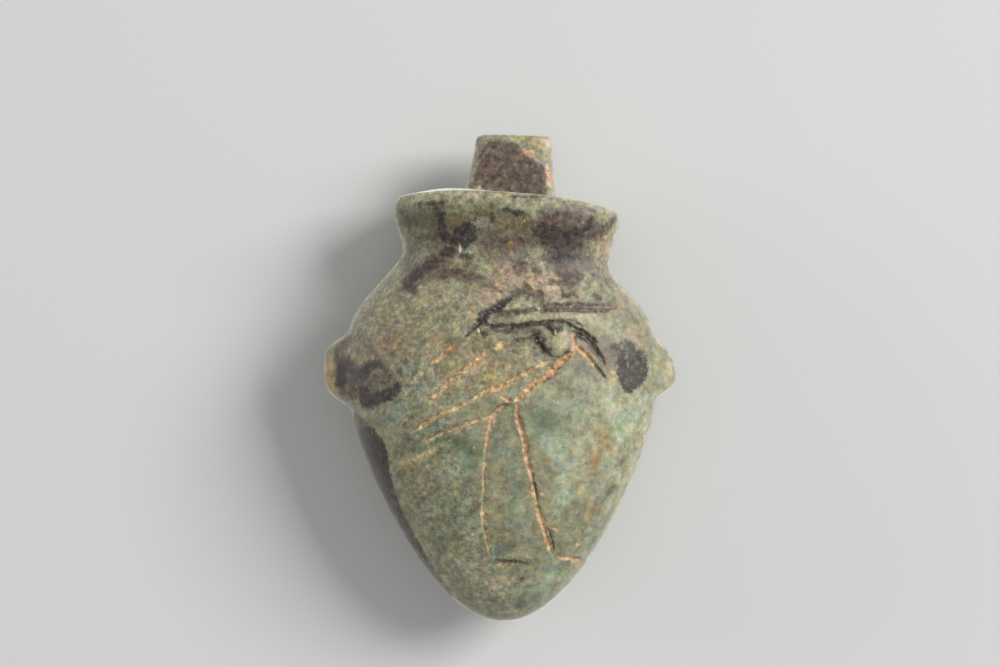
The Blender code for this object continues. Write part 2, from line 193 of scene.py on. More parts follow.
def blank_points():
    """Every point of the smooth blank in mm, ring by ring, measured from the point."""
    table = np.vstack([
        lower_body_rings(), shoulder_rings(), collar_rings(), rim_edge_rings(),
        rim_top_rings(), lug_rings(), lug_top_rings(), lug_cap_rings(),
    ])
    turn = np.arange(AROUND) * 2.0 * math.pi / AROUND
    angle = turn + 0.15 * np.sin(2.0 * turn)
    level, half_width, front, back, shift, fall, squareness, arch = [c[:, None] for c in table.T]
    across, outward = np.cos(angle)[None, :], np.sin(angle)[None, :]
    stretch = (np.abs(across) ** squareness + np.abs(outward) ** squareness) ** (-1.0 / squareness)
    off_middle = half_width * across * stretch
    x = shift + off_middle
    y = level - fall * off_middle + arch * (1.0 - np.abs(across * stretch) ** 2.5)
    z = np.where(outward > 0.0, front, back) * outward * stretch
    x = x + side_lug_push(off_middle, y, z, half_width)
    return np.stack([x, y, z], axis=-1)


def blank_mesh():
    points = blank_points()
    count = points.shape[0]
    tip = np.array([[POINT_SHIFT, 0.0, 0.0]])
    crown = np.array([[LUG_TOP_SHIFT, LUG_TOP, 0.0]])
    places = np.vstack([points.reshape(-1, 3), tip, crown])
    faces = []
    for ring in range(count - 1):
        for step in range(AROUND):
            after = (step + 1) % AROUND
            here, above = ring * AROUND, (ring + 1) * AROUND
            faces.append((here + step, here + after, above + after, above + step))
    last = (count - 1) * AROUND
    tip_index, crown_index = count * AROUND, count * AROUND + 1
    for step in range(AROUND):
        after = (step + 1) % AROUND
        faces.append((tip_index, after, step))
        faces.append((crown_index, last + step, last + after))
    middle_x = (places[:, 0].min() + places[:, 0].max()) / 2
    middle_y = (places[:, 1].min() + places[:, 1].max()) / 2
    places[:, 0] -= middle_x
    places[:, 1] += LENGTH_MM / 2 - middle_y
    places[:, 2] += MIDDLE_DEPTH
    places[:, 2] = np.maximum(places[:, 2], 0.0)
    mesh = bpy.data.meshes.new("heart_amulet_stone")
    mesh.from_pydata([tuple(place) for place in places], [], faces)
    bm = bmesh.new()
    bm.from_mesh(mesh)
    bmesh.ops.recalc_face_normals(bm, faces=bm.faces)
    bm.to_mesh(mesh)
    bm.free()
    return mesh


# The hole for the cord runs through the lug from side to side. It was drilled from both
# ends and worn by the cord, so it is widest at its mouths.
BORE_RADIUS = 1.1
BORE_LEVEL = 51.6
BORE_REACH = 6.0


def drill_bore(stone):
    mesh = bpy.data.meshes.new("bore")
    bm = bmesh.new()
    steps, sides = 24, 40
    loops = []
    for step in range(steps + 1):
        along = mix(-BORE_REACH, BORE_REACH, step / steps)
        worn = max(0.0, abs(along) / 4.4 - 0.6)
        radius = BORE_RADIUS + 0.9 * worn ** 1.5
        loop = []
        for side in range(sides):
            angle = side * 2.0 * math.pi / sides
            loop.append(bm.verts.new((
                LUG_TOP_SHIFT + along,
                BORE_LEVEL + radius * math.cos(angle),
                MIDDLE_DEPTH + 0.1 + radius * math.sin(angle),
            )))
        loops.append(loop)
    for here, after in zip(loops, loops[1:]):
        for side in range(sides):
            near = (side + 1) % sides
            bm.faces.new((here[side], here[near], after[near], after[side]))
    bm.faces.new(loops[0])
    bm.faces.new(list(reversed(loops[-1])))
    bmesh.ops.recalc_face_normals(bm, faces=bm.faces)
    bm.to_mesh(mesh)
    bm.free()
    drill = bpy.data.objects.new("bore", mesh)
    bpy.context.scene.collection.objects.link(drill)
    cut = stone.modifiers.new("bore", "BOOLEAN")
    cut.operation = "DIFFERENCE"
    cut.solver = "EXACT"
    cut.object = drill
    depsgraph = bpy.context.evaluated_depsgraph_get()
    drilled = bpy.data.meshes.new_from_object(stone.evaluated_get(depsgraph))
    stone.modifiers.clear()
    stone.data = drilled
    bpy.data.objects.remove(drill, do_unlink=True)


# The heron. A standing heron faces right on the front, cut with a graver in single strokes.
# Ochre and straw-coloured earth still fills the strokes of its body, wings and legs, and a
# dark stain lies in those of its head and breast.
HERON = [
    # width and depth in mm, what fills the cut, and its path
    (0.95, 0.12, "dirt_and_painted_shade", [
        (0.9, 36.5), (1.4, 37.0), (2.3, 37.3), (3.2, 37.3), (4.1, 37.0), (4.5, 36.3), (4.8, 35.6)]),
    (0.95, 0.34, "soot", [
        (1.2, 36.3), (0.3, 35.9), (-0.4, 35.2), (-1.3, 34.8), (-2.0, 34.1), (-2.5, 33.5), (-3.2, 32.8),
        (-3.7, 32.3)]),
    (0.45, 0.18, "dirt_and_painted_shade", [(-2.4, 32.9), (-1.8, 32.2)]),
    (0.60, 0.26, "dirt_and_painted_shade", [
        (-1.0, 34.6), (-0.1, 34.7), (1.0, 34.8), (2.0, 34.8), (3.1, 35.1), (4.4, 35.2)]),
    (0.95, 0.24, "film", [
        (4.4, 35.4), (6.5, 35.5), (7.9, 35.5), (9.4, 35.5), (10.8, 35.5), (12.9, 35.4)]),
    (0.32, 0.20, "dirt_and_painted_shade", [(4.4, 35.0), (6.5, 35.1), (9.4, 35.1), (12.0, 35.05)]),
    (0.60, 0.28, "soot", [
        (-1.6, 33.6), (-0.7, 33.3), (0.3, 33.4), (1.5, 33.3), (2.9, 33.5), (4.8, 33.7), (5.8, 33.9),
        (7.1, 33.9)]),
    (0.45, 0.26, "soot", [(7.3, 33.8), (8.3, 33.2), (9.3, 32.7), (10.0, 32.2), (10.7, 31.5)]),
    (0.40, 0.12, "dirt_and_painted_shade", [(7.3, 34.1), (8.6, 33.7), (9.1, 33.4)]),
    (0.40, 0.20, "soot", [(4.8, 33.3), (5.5, 33.0), (6.0, 32.3)]),
    (0.80, 0.34, "film", [(7.9, 32.8), (8.8, 32.4), (9.8, 31.9), (10.2, 31.1), (10.6, 30.5), (11.3, 29.5)]),
    (0.30, 0.20, "soot", [(10.3, 31.6), (10.8, 30.8), (11.4, 29.7), (11.7, 29.0)]),
    (0.50, 0.22, "earth", [(8.3, 31.3), (9.3, 30.4), (10.0, 29.7), (10.4, 29.0)]),
    (0.40, 0.22, "dirt_and_painted_shade", [(10.2, 29.4), (10.9, 28.6), (11.7, 27.6)]),
    (0.70, 0.28, "soot", [(3.6, 32.3), (4.1, 31.7), (4.4, 31.2), (4.9, 30.6), (5.7, 30.0)]),
    (0.50, 0.20, "dirt_and_painted_shade", [(5.7, 30.0), (6.6, 29.8), (7.3, 30.2), (8.0, 30.5)]),
    (0.45, 0.18, "earth", [(7.9, 32.8), (8.2, 31.8), (8.2, 30.9)]),
    (1.05, 0.42, "earth", [
        (7.6, 30.2), (7.0, 29.5), (6.3, 29.0), (5.5, 28.3), (4.5, 27.5)]),
    (0.60, 0.30, "dirt_and_painted_shade", [(6.6, 28.8), (5.5, 27.9), (4.6, 27.2)]),
    (0.80, 0.34, "straw", [(4.9, 27.8), (4.3, 27.4), (2.9, 26.1), (1.6, 25.1)]),
    (0.70, 0.26, "earth", [(1.6, 25.0), (0.9, 25.2), (0.2, 25.6)]),
    (0.44, 0.12, "film", [(1.2, 24.9), (0.2, 24.5), (-0.6, 24.0)]),
    (0.35, 0.05, "bare", [(-3.2, 25.0), (-5.2, 24.0), (-7.4, 23.0)]),
    (0.50, 0.14, "earth", [(0.3, 24.5), (-0.5, 23.8), (-1.1, 23.3), (-1.8, 23.1)]),
    (0.50, 0.12, "earth", [(-4.8, 31.4), (-5.7, 30.6), (-6.6, 29.9), (-7.6, 29.2)]),
    (0.40, 0.06, "bare", [(-7.6, 29.0), (-8.6, 28.3), (-9.4, 27.4)]),
    (0.62, 0.24, "straw", [
        (1.2, 31.7), (-0.1, 31.1), (-1.3, 30.5), (-2.6, 29.5), (-3.8, 28.5), (-5.5, 27.1), (-6.7, 26.0),
        (-7.8, 24.9)]),
    (0.45, 0.22, "dirt_and_painted_shade", [(4.4, 32.5), (2.9, 32.0), (1.2, 31.7)]),
    (0.54, 0.22, "straw", [(5.5, 29.5), (3.8, 28.7), (2.1, 27.8), (0.4, 26.8), (-1.3, 26.3), (-3.0, 25.3)]),
    (0.44, 0.20, "straw", [(-3.0, 25.3), (-4.6, 24.5), (-7.2, 23.3), (-9.2, 21.9)]),
    (0.40, 0.22, "straw", [(-1.3, 23.4), (-3.0, 22.8), (-4.6, 22.3), (-6.3, 21.6), (-8.1, 20.7)]),
    (0.35, 0.08, "bare", [(-2.6, 22.5), (-4.4, 21.9), (-6.2, 21.2)]),
    (0.45, 0.10, "bare", [(-10.8, 18.3), (-8.9, 19.0), (-7.7, 19.6), (-6.7, 20.2)]),
    (0.40, 0.10, "bare", [
        (-0.8, 23.4), (-1.2, 21.9), (-1.5, 20.3), (-1.7, 18.1), (-1.8, 15.3), (-1.9, 12.4), (-1.6, 10.0),
        (-1.2, 8.2)]),
    (0.40, 0.04, "straw", [(-1.0, 22.4), (-1.3, 21.4), (-1.5, 19.9)]),
    (0.46, 0.04, "straw", [(-1.6, 18.6), (-1.7, 17.6), (-1.75, 16.6)]),
    (0.40, 0.04, "straw", [(-1.8, 15.9), (-1.8, 14.4)]),
    (0.46, 0.04, "straw", [(-1.9, 13.2), (-1.9, 12.0), (-1.8, 11.1)]),
    (0.36, 0.04, "straw", [(-1.6, 10.3), (-1.4, 9.2), (-1.2, 8.4)]),
    (0.68, 0.20, "earth", [(1.9, 24.7), (2.1, 22.9), (2.5, 21.3), (2.8, 19.7), (3.2, 18.0), (3.6, 16.3)]),
    (0.42, 0.16, "dirt_and_painted_shade", [(3.6, 16.4), (3.9, 15.2), (4.1, 14.0)]),
    (0.40, 0.05, "straw", [(3.5, 16.0), (3.7, 14.9), (3.9, 14.0)]),
    (0.64, 0.20, "earth", [(4.1, 14.0), (4.4, 12.7), (4.9, 11.0), (5.3, 9.5), (5.7, 8.1)]),
    (0.24, 0.12, "dirt_and_painted_shade", [(5.3, 11.0), (5.7, 9.7), (6.0, 8.4)]),
    (0.40, 0.12, "film", [(-0.6, 7.3), (0.4, 7.1), (1.5, 7.0), (3.2, 6.9)]),
    (0.24, 0.14, "dirt_and_painted_shade", [(0.2, 7.3), (1.4, 7.2), (2.6, 7.1)]),
    (0.30, 0.04, "earth", [(-0.4, 6.8), (0.8, 6.6)]),
    (0.50, 0.22, "earth", [(6.5, 7.6), (7.8, 7.4), (9.1, 7.1)]),
    (0.50, 0.08, "earth", [(5.7, 11.0), (6.5, 10.7)]),
]

# What can lie in and along a cut; the dirt along a cut also holds painted shade on its upper edge
FILLS = ("earth", "soot", "film", "dirt_and_painted_shade", "straw", "bare", "haze")

# Low swellings that model the head and the shoulder: middle, half sizes and height in mm
HERON_SWELLS = [
    ((2.6, 36.6), (1.9, 0.8), -0.08),
    ((6.7, 31.6), (1.1, 1.5), 0.22),
    ((1.4, 35.6), (1.8, 0.4), 0.05),
    ((7.5, 34.5), (4.0, 0.5), 0.05),
]


def smooth_path(corners, pieces=4):
    """A smooth curve through the corners."""
    points = [np.array(corner, float) for corner in corners]
    padded = [2 * points[0] - points[1]] + points + [2 * points[-1] - points[-2]]
    path = [points[0]]
    for before, start, end, after in zip(padded, padded[1:], padded[2:], padded[3:]):
        for index in range(1, pieces + 1):
            t = index / pieces
            swing = (end - before) * t + (2 * before - 5 * start + 4 * end - after) * t ** 2
            bend = (3 * start - before - 3 * end + after) * t ** 3
            path.append(start + (swing + bend) * 0.5)
    return np.array(path)


HERON_PATHS = [smooth_path(path) for _, _, _, path in HERON]


def distance_to_path(flat, path):
    """How far each place is from a path, where along it, the path's length, and if above it."""
    nearest = np.full(len(flat), 1e9)
    along = np.zeros(len(flat))
    above = np.zeros(len(flat), bool)
    walked = 0.0
    for start, end in zip(path, path[1:]):
        run = end - start
        length = float(np.hypot(*run))
        share = np.clip(((flat - start) @ run) / max(length * length, 1e-9), 0.0, 1.0)
        off = flat - start - share[:, None] * run
        gap = np.hypot(*off.T)
        closer = gap < nearest
        nearest = np.where(closer, gap, nearest)
        above = np.where(closer, off @ (0.5, 1.0) > 0.0, above)
        along = np.where(closer, walked + share * length, along)
        walked += length
    return nearest, along, walked, above


def near_heron(places, margin):
    """Which places on the front lie within a margin of any stroke."""
    close = np.zeros(len(places), bool)
    for (width, _, _, _), path in zip(HERON, HERON_PATHS):
        gap = distance_to_path(places[:, :2], path)[0]
        close |= gap < width / 2 + margin
    return close & (places[:, 2] > MIDDLE_DEPTH)


def refine_near_heron(mesh):
    """Finer facets where the graver cut: each round halves them."""
    bm = bmesh.new()
    bm.from_mesh(mesh)
    for margin in (0.45, 0.2):
        faces = list(bm.faces)
        middles = np.array([face.calc_center_median() for face in faces])
        close = near_heron(middles, margin)
        edges = {edge for face, is_close in zip(faces, close) if is_close for edge in face.edges}
        bmesh.ops.subdivide_edges(bm, edges=list(edges), cuts=1, use_grid_fill=True)
    bmesh.ops.triangulate(bm, faces=[face for face in bm.faces if len(face.verts) > 4])
    bm.to_mesh(mesh)
    bm.free()


def rough(places, size, seed):
    """Smooth random numbers from -1 to 1 that change over a size in mm."""
    shift = Vector((seed * 17.3, seed * 5.1, seed * 9.7))
    return np.array([noise.noise(Vector(place) / size + shift) for place in places])


def engrave(places):
    """How deep each place is cut, and how far in mm it lies inside the fill of a cut."""
    sunk = np.zeros(len(places))
    inside = {fill: np.full(len(places), -3.0) for fill in FILLS}
    front = np.flatnonzero(near_heron(places, 1.0))
    flat = places[front, :2]
    wander = 1.0 + 0.55 * rough(places[front], 1.1, 1) + 0.45 * rough(places[front], 0.4, 2)
    for (width, depth, fill, _), path in zip(HERON, HERON_PATHS):
        gap, along, length, above = distance_to_path(flat, path)
        end_gap = np.minimum(along, length - along)
        taper = np.clip(end_gap / (1.8 * width) + 0.35, 0.0, 1.0)
        calm = 0.4 if fill == "film" else 1.0
        strayed = 1.0 + calm * (wander - 1.0)
        half = width / 2 * strayed * taper
        core = 0.6 if fill == "soot" else 1.0
        share = np.clip(1.0 - (gap / half) ** 2, 0.0, 1.0)
        sunk[front] = np.maximum(sunk[front], depth * taper * strayed * share)
        inside[fill][front] = np.maximum(inside[fill][front], core * half - gap)
        # Painted shade: a dark line kept with the dirt along the upper side of earth, film and straw cuts,
        # where the wall faces away from the light.
        if fill in ("earth", "film", "straw"):
            edge = np.where(above, 0.22 * half - np.abs(gap - 0.95 * half), -3.0)
            inside["dirt_and_painted_shade"][front] = np.maximum(inside["dirt_and_painted_shade"][front], edge)
        if fill == "soot":
            inside["dirt_and_painted_shade"][front] = np.maximum(inside["dirt_and_painted_shade"][front], 0.95 * half - gap)
        if fill in ("soot", "dirt_and_painted_shade"):
            inside["haze"][front] = np.maximum(inside["haze"][front], 1.3 * half - gap)
    rise = np.zeros(len(places))
    for middle, half_sizes, height in HERON_SWELLS:
        off = (places[:, :2] - middle) / half_sizes
        share = np.clip(1.0 - (off ** 2).sum(axis=1), 0.0, 1.0)
        rise += height * share ** 1.2 * (places[:, 2] > MIDDLE_DEPTH)
    return rise - sunk, inside


def wear(places):
    """The hand-ground surface: long shallow hollows and fine unevenness, all inwards."""
    hollows = 0.5 + 0.5 * rough(places, 4.2, 3)
    ripples = 0.5 + 0.5 * rough(places, 1.3, 4)
    grain = 0.5 + 0.5 * rough(places, 0.7, 5)
    worn = 0.08 * hollows + 0.04 * ripples + 0.03 * grain
    off_floor = np.clip(places[:, 2] / 0.6, 0.0, 1.0)
    return -worn * off_floor


# The stains. A purple-brown film is left in patches on the lug, the neck, the side lugs and
# the left edge, black in places, with a brown haze round it, specks of ochre earth and spots
# where the pale stone is bare.

# Each stain is a row of spots in mm: across from the middle line, up from the point, and the
# radius. The dark film comes first, and then its black cores.
FILM = [
    [(-1.6, 49.2, 0.66), (-0.6, 50.2, 1.1), (-0.1, 52.9, 1.30), (0.8, 51.1, 2.31), (3.4, 50.2, 1.90)],
    [(-0.4, 48.8, 0.77), (1.6, 48.6, 1.10), (4.4, 48.6, 0.99)],
    [(-2.4, 49.6, 0.60), (-2.0, 51.0, 0.70), (-1.7, 52.6, 0.70), (-1.2, 53.6, 0.50), (0.4, 53.7, 0.50),
     (1.6, 53.5, 0.40)],
    [(-17.0, 32.1, 0.45), (-17.5, 31.4, 0.62), (-18.1, 30.7, 0.70), (-17.9, 29.6, 0.80),
     (-17.7, 28.2, 0.80), (-17.9, 26.9, 0.66), (-17.8, 26.0, 0.45)],
    [(-16.6, 28.7, 0.70), (-16.5, 27.2, 0.45), (-16.4, 25.6, 0.45)],
    [(-15.4, 28.1, 0.90), (-14.7, 29.0, 0.50), (-13.8, 29.2, 0.40), (-12.9, 28.7, 0.28),
     (-12.3, 27.7, 0.40)],
    [(-15.2, 26.8, 0.80), (-15.0, 25.2, 0.85), (-14.5, 24.4, 0.50), (-13.6, 25.3, 0.60),
     (-12.5, 25.7, 0.60)],
    [(-10.9, 28.0, 0.31), (-11.3, 28.8, 0.20)],
    [(-14.6, 28.3, 0.30), (-14.6, 27.2, 0.36), (-14.4, 26.2, 0.34)],
    [(-13.7, 27.5, 0.48), (-13.0, 27.2, 0.34)],
    [(-5.7, 41.5, 0.75), (-7.1, 40.7, 0.85), (-8.5, 39.9, 0.90), (-9.7, 38.9, 0.92), (-10.5, 37.7, 0.72),
     (-9.5, 37.2, 0.50)],
    [(-6.5, 39.3, 0.50), (-5.5, 39.4, 0.46), (-4.1, 39.3, 0.42), (-3.3, 38.9, 0.32), (-2.1, 38.8, 0.30),
     (-1.2, 38.5, 0.20)],
    [(-1.3, 37.9, 0.20), (-0.6, 37.6, 0.18), (0.1, 37.2, 0.14)],
    [(4.6, 42.8, 0.61), (5.8, 42.2, 0.75), (7.2, 42.0, 0.80), (8.6, 42.3, 0.75)],
    [(5.0, 41.0, 0.50), (6.6, 41.1, 0.92), (8.0, 40.9, 1.10), (9.0, 40.7, 0.65)],
    [(6.4, 44.6, 0.50), (7.4, 44.6, 0.60), (8.3, 44.4, 0.50)],
    [(6.8, 39.3, 0.60), (7.8, 39.1, 1.00), (8.6, 38.9, 0.75), (7.8, 38.1, 0.50), (6.2, 38.2, 0.32),
     (5.4, 38.2, 0.24)],
    [(8.2, 43.4, 0.75), (9.6, 43.6, 0.60), (10.8, 43.6, 0.55), (12.0, 44.3, 0.42), (12.7, 45.2, 0.36),
     (13.1, 45.7, 0.20)],
    [(4.6, 44.9, 0.50), (6.5, 45.4, 0.60), (8.0, 45.6, 0.60), (9.2, 45.6, 0.50)],
    [(2.0, 39.9, 0.55), (2.8, 40.1, 0.36), (2.2, 39.2, 0.32)],
    [(3.9, 39.6, 0.44), (4.4, 39.4, 0.32)],
    [(6.9, 46.9, 0.24), (8.9, 46.5, 0.28), (9.6, 46.4, 0.24), (10.6, 46.2, 0.24)],
    [(10.6, 36.9, 0.36), (11.1, 36.4, 0.34)],
    [(-0.6, 32.9, 0.20), (0.9, 32.8, 0.24), (2.3, 32.9, 0.28), (3.4, 32.9, 0.32), (4.2, 32.6, 0.36)],
    [(12.6, 31.2, 0.40), (13.4, 30.2, 0.55), (13.6, 28.8, 0.50)],
    [(12.7, 36.4, 0.27)],
    [(10.7, 39.1, 0.26)],
    [(7.2, 36.8, 0.30), (8.4, 36.9, 0.34)],
    [(-16.2, 23.0, 0.60), (-15.2, 21.4, 1.10), (-14.3, 19.7, 1.50), (-13.8, 18.0, 1.30),
     (-13.2, 16.2, 1.10), (-12.5, 14.2, 0.95), (-11.8, 12.4, 0.80), (-10.7, 10.6, 0.70),
     (-9.6, 8.6, 0.62), (-8.3, 6.5, 0.52), (-6.9, 4.7, 0.42), (-5.6, 3.1, 0.28)],
    [(2.5, 5.2, 0.22)],
    [(-1.2, 2.7, 0.24)],
]
SOOT = [
    [(-9.4, 47.0, 0.28), (-8.5, 47.0, 0.28), (-7.5, 46.9, 0.26), (-6.1, 47.0, 0.26)],
    [(-7.5, 46.1, 0.40), (-6.6, 45.8, 0.49), (-6.5, 44.8, 0.49), (-6.4, 43.8, 0.58), (-5.9, 43.0, 0.62)],
    [(-5.1, 43.0, 0.75), (-4.1, 43.9, 0.72), (-3.4, 44.2, 0.69), (-3.2, 43.2, 0.70), (-3.9, 42.6, 0.66)],
    [(-2.7, 45.1, 0.28), (-3.1, 44.6, 0.30)],
    [(-4.1, 41.2, 0.45), (-3.3, 41.0, 0.28)],
    [(-5.3, 41.9, 0.50), (-6.3, 41.4, 0.40)],
    [(0.6, 46.2, 0.28), (1.4, 46.0, 0.40), (2.4, 45.7, 0.33)],
    [(-0.9, 45.6, 0.24), (-0.8, 45.0, 0.20)],
    [(0.2, 42.6, 0.28), (1.4, 42.9, 0.20)],
    [(4.0, 43.9, 0.58), (5.0, 44.0, 0.64), (6.2, 43.8, 0.80), (7.4, 43.1, 0.84), (8.6, 43.6, 0.64)],
    [(9.8, 44.5, 0.50), (10.2, 45.3, 0.30)],
    [(-7.2, 40.7, 0.40), (-8.6, 39.8, 0.44), (-9.6, 38.9, 0.44), (-10.3, 38.0, 0.42)],
    [(-5.4, 39.5, 0.20), (-4.2, 39.4, 0.22)],
    [(-15.6, 21.4, 0.55), (-14.9, 19.9, 0.80), (-14.2, 18.2, 0.80), (-13.6, 16.6, 0.65),
     (-12.8, 14.6, 0.50), (-12.0, 12.6, 0.40), (-10.9, 10.8, 0.34)],
    [(5.2, 42.9, 0.56), (6.7, 42.4, 0.70), (8.0, 42.2, 0.64)],
    [(6.3, 41.0, 0.45), (7.8, 40.8, 0.55)],
    [(14.4, 31.2, 0.55), (14.5, 30.0, 1.25), (14.6, 28.8, 1.70), (14.5, 27.4, 1.30), (14.3, 26.6, 0.70)],
    [(15.6, 29.8, 0.80), (15.8, 28.4, 0.80), (15.4, 27.2, 0.60)],
    [(12.5, 31.1, 0.24), (13.1, 31.1, 0.24), (14.0, 31.9, 0.16)],
    [(-15.3, 26.0, 0.72), (-14.9, 25.1, 0.84), (-13.6, 25.3, 0.60), (-12.4, 25.8, 0.60),
     (-11.5, 26.3, 0.55), (-11.4, 27.0, 0.36)],
    [(-15.3, 28.0, 0.64), (-14.6, 28.9, 0.46), (-13.6, 29.2, 0.38)],
    [(-17.8, 29.4, 0.52), (-17.7, 28.0, 0.64), (-17.9, 26.9, 0.56)],
    [(-14.7, 21.7, 0.50), (-13.7, 20.4, 0.66), (-13.0, 18.9, 0.60), (-12.9, 17.5, 0.54),
     (-12.5, 15.7, 0.46)],
    [(-12.1, 14.4, 0.40), (-11.7, 13.4, 0.40), (-10.8, 11.3, 0.36), (-9.8, 9.3, 0.34), (-8.4, 7.2, 0.26)],
    [(-2.0, 34.7, 0.40), (-1.7, 34.1, 0.50), (-2.3, 33.7, 0.34)],
    [(-1.7, 32.5, 0.24), (-1.9, 32.1, 0.18)],
    [(5.0, 33.5, 0.27), (5.8, 33.1, 0.40), (6.4, 33.0, 0.33), (6.7, 33.3, 0.25)],
    [(3.8, 32.1, 0.50), (4.3, 31.7, 0.62), (4.9, 31.0, 0.50), (5.5, 30.3, 0.30)],
    [(7.3, 30.4, 0.26), (7.8, 30.3, 0.30)],
    [(8.6, 32.4, 0.30), (9.4, 32.0, 0.26)],
]

# The brown haze round the dark stains, and scattered faint marks
HAZE = [
    [(-0.7, 43.1, 0.99), (0.6, 42.5, 1.10), (2.2, 42.9, 0.88)],
    [(-10.8, 46.0, 0.70), (-10.2, 43.6, 0.50)],
    [(-6.6, 43.6, 1.10), (-4.2, 43.4, 1.30), (-2.2, 43.2, 1.20)],
    [(3.4, 43.4, 0.90), (4.6, 44.4, 1.10)],
    [(1.2, 36.6, 0.38), (2.0, 36.8, 0.47), (3.0, 36.9, 0.47), (3.9, 36.7, 0.44)],
    [(-0.5, 32.8, 0.33), (0.9, 32.8, 0.33), (2.3, 32.8, 0.33), (3.4, 33.0, 0.33), (4.4, 33.1, 0.38)],
    [(5.3, 31.8, 0.55), (5.6, 30.7, 0.44)],
    [(-18.1, 30.4, 0.88), (-16.8, 28.2, 1.10), (-17.2, 26.0, 0.88)],
    [(-13.9, 27.9, 1.32), (-12.7, 26.8, 1.32)],
    [(7.6, 36.8, 0.55), (6.6, 37.1, 0.44)],
    [(-6.7, 40.5, 1.32), (-3.3, 39.8, 1.10), (-8.9, 39.0, 1.10)],
    [(11.7, 30.5, 0.66), (12.4, 29.4, 0.55)],
    [(-9.9, 23.4, 0.35), (-10.3, 21.9, 0.35), (-10.5, 20.0, 0.30)],
    [(-7.0, 16.3, 0.31), (-6.8, 14.8, 0.27)],
    [(-10.1, 19.8, 0.22)],
    [(-9.2, 14.3, 0.36)],
    [(-4.8, 9.7, 0.40)],
]

# Specks of ochre earth outside the cuts
EARTH = [
    [(2.8, 52.9, 0.33), (3.5, 52.7, 0.33)],
    [(5.4, 51.3, 0.27), (5.7, 50.0, 0.33), (5.5, 49.1, 0.22)],
    [(1.2, 42.6, 0.22)],
    [(0.9, 39.8, 0.27)],
    [(-0.7, 40.2, 0.24)],
    [(2.9, 40.6, 0.22)],
    [(10.1, 38.4, 0.22)],
    [(12.5, 28.2, 0.31), (12.5, 27.5, 0.31)],
    [(15.8, 31.4, 0.22)],
    [(-11.3, 31.8, 0.24)],
    [(-8.6, 28.1, 0.24)],
    [(-9.8, 27.1, 0.22)],
    [(-8.0, 30.7, 0.24)],
    [(-8.3, 35.8, 0.24)],
    [(4.7, 14.8, 0.22)],
    [(8.7, 8.9, 0.24)],
    [(13.2, 32.8, 0.24)],
    [(0.9, 25.3, 0.33)],
    [(-0.9, 23.3, 0.42), (-1.0, 22.7, 0.30)],
    [(-0.3, 26.8, 0.33), (-1.1, 26.2, 0.27)],
    [(8.0, 31.9, 0.18), (8.2, 30.9, 0.20), (7.5, 29.8, 0.33), (6.6, 29.3, 0.38)],
]

# Where the pale stone is bare, and a painted sheen under the bill
PALE = [
    [(3.1, 53.9, 0.33), (5.0, 53.8, 0.44), (5.4, 52.9, 0.27)],
    [(5.2, 37.5, 0.36), (6.2, 37.5, 0.40)],
    [(19.0, 28.6, 0.88), (19.0, 27.1, 0.77)],
    [(5.0, 27.9, 0.20), (4.0, 27.0, 0.25), (2.9, 26.1, 0.25)],
    # Pale band under the bill: bare stone, with a painted sheen of soft light on it.
    [(2.2, 34.2, 0.33), (4.4, 34.5, 0.44), (7.2, 34.5, 0.55), (9.4, 34.2, 0.66), (10.8, 34.0, 0.66)],
    [(0.2, 35.2, 0.20), (1.3, 35.5, 0.24), (2.6, 35.7, 0.26)],
    [(6.7, 32.2, 0.77), (6.7, 31.1, 0.77)],
    [(-10.8, 18.3, 0.27), (-8.9, 19.0, 0.27), (-6.7, 20.2, 0.22)],
    [(-0.3, 27.0, 0.27)],
    [(9.1, 18.8, 0.33)],
]

# Small white spots painted where glints of light shine: painted highlights
PAINTED_GLINTS = [
    [(-4.4, 42.4, 0.11), (-4.4, 41.9, 0.17), (-4.4, 41.5, 0.12)],
    [(-11.2, 31.7, 0.20)],
    [(-2.4, 33.1, 0.12), (-2.3, 32.8, 0.14)],
    [(4.1, 31.8, 0.09)],
    [(4.3, 35.3, 0.10)],
    [(6.1, 32.5, 0.10)],
    [(-12.4, 23.1, 0.16)],
    [(0.8, 20.5, 0.14)],
    [(9.7, 46.9, 0.10)],
    [(-9.1, 37.8, 0.12), (-8.7, 37.7, 0.10)],
    [(12.2, 24.6, 0.10), (15.0, 26.2, 0.09)],
    [(8.9, 12.8, 0.09)],
    [(6.3, 6.7, 0.10)],
    [(-0.1, 4.4, 0.09)],
    [(-3.1, 8.4, 0.09)],
]

# Where the surface is coarse: everywhere above the wings, and down the left to the point
COARSE = [
    [(0.0, 50.0, 7.0), (-6.0, 42.0, 8.0), (6.0, 42.0, 8.0)],
    [(-12.0, 35.0, 7.0), (-9.0, 28.0, 6.0), (2.0, 33.0, 5.0)],
    [(-8.0, 20.0, 4.0), (-6.0, 12.0, 4.0), (0.0, 4.0, 3.0)],
]
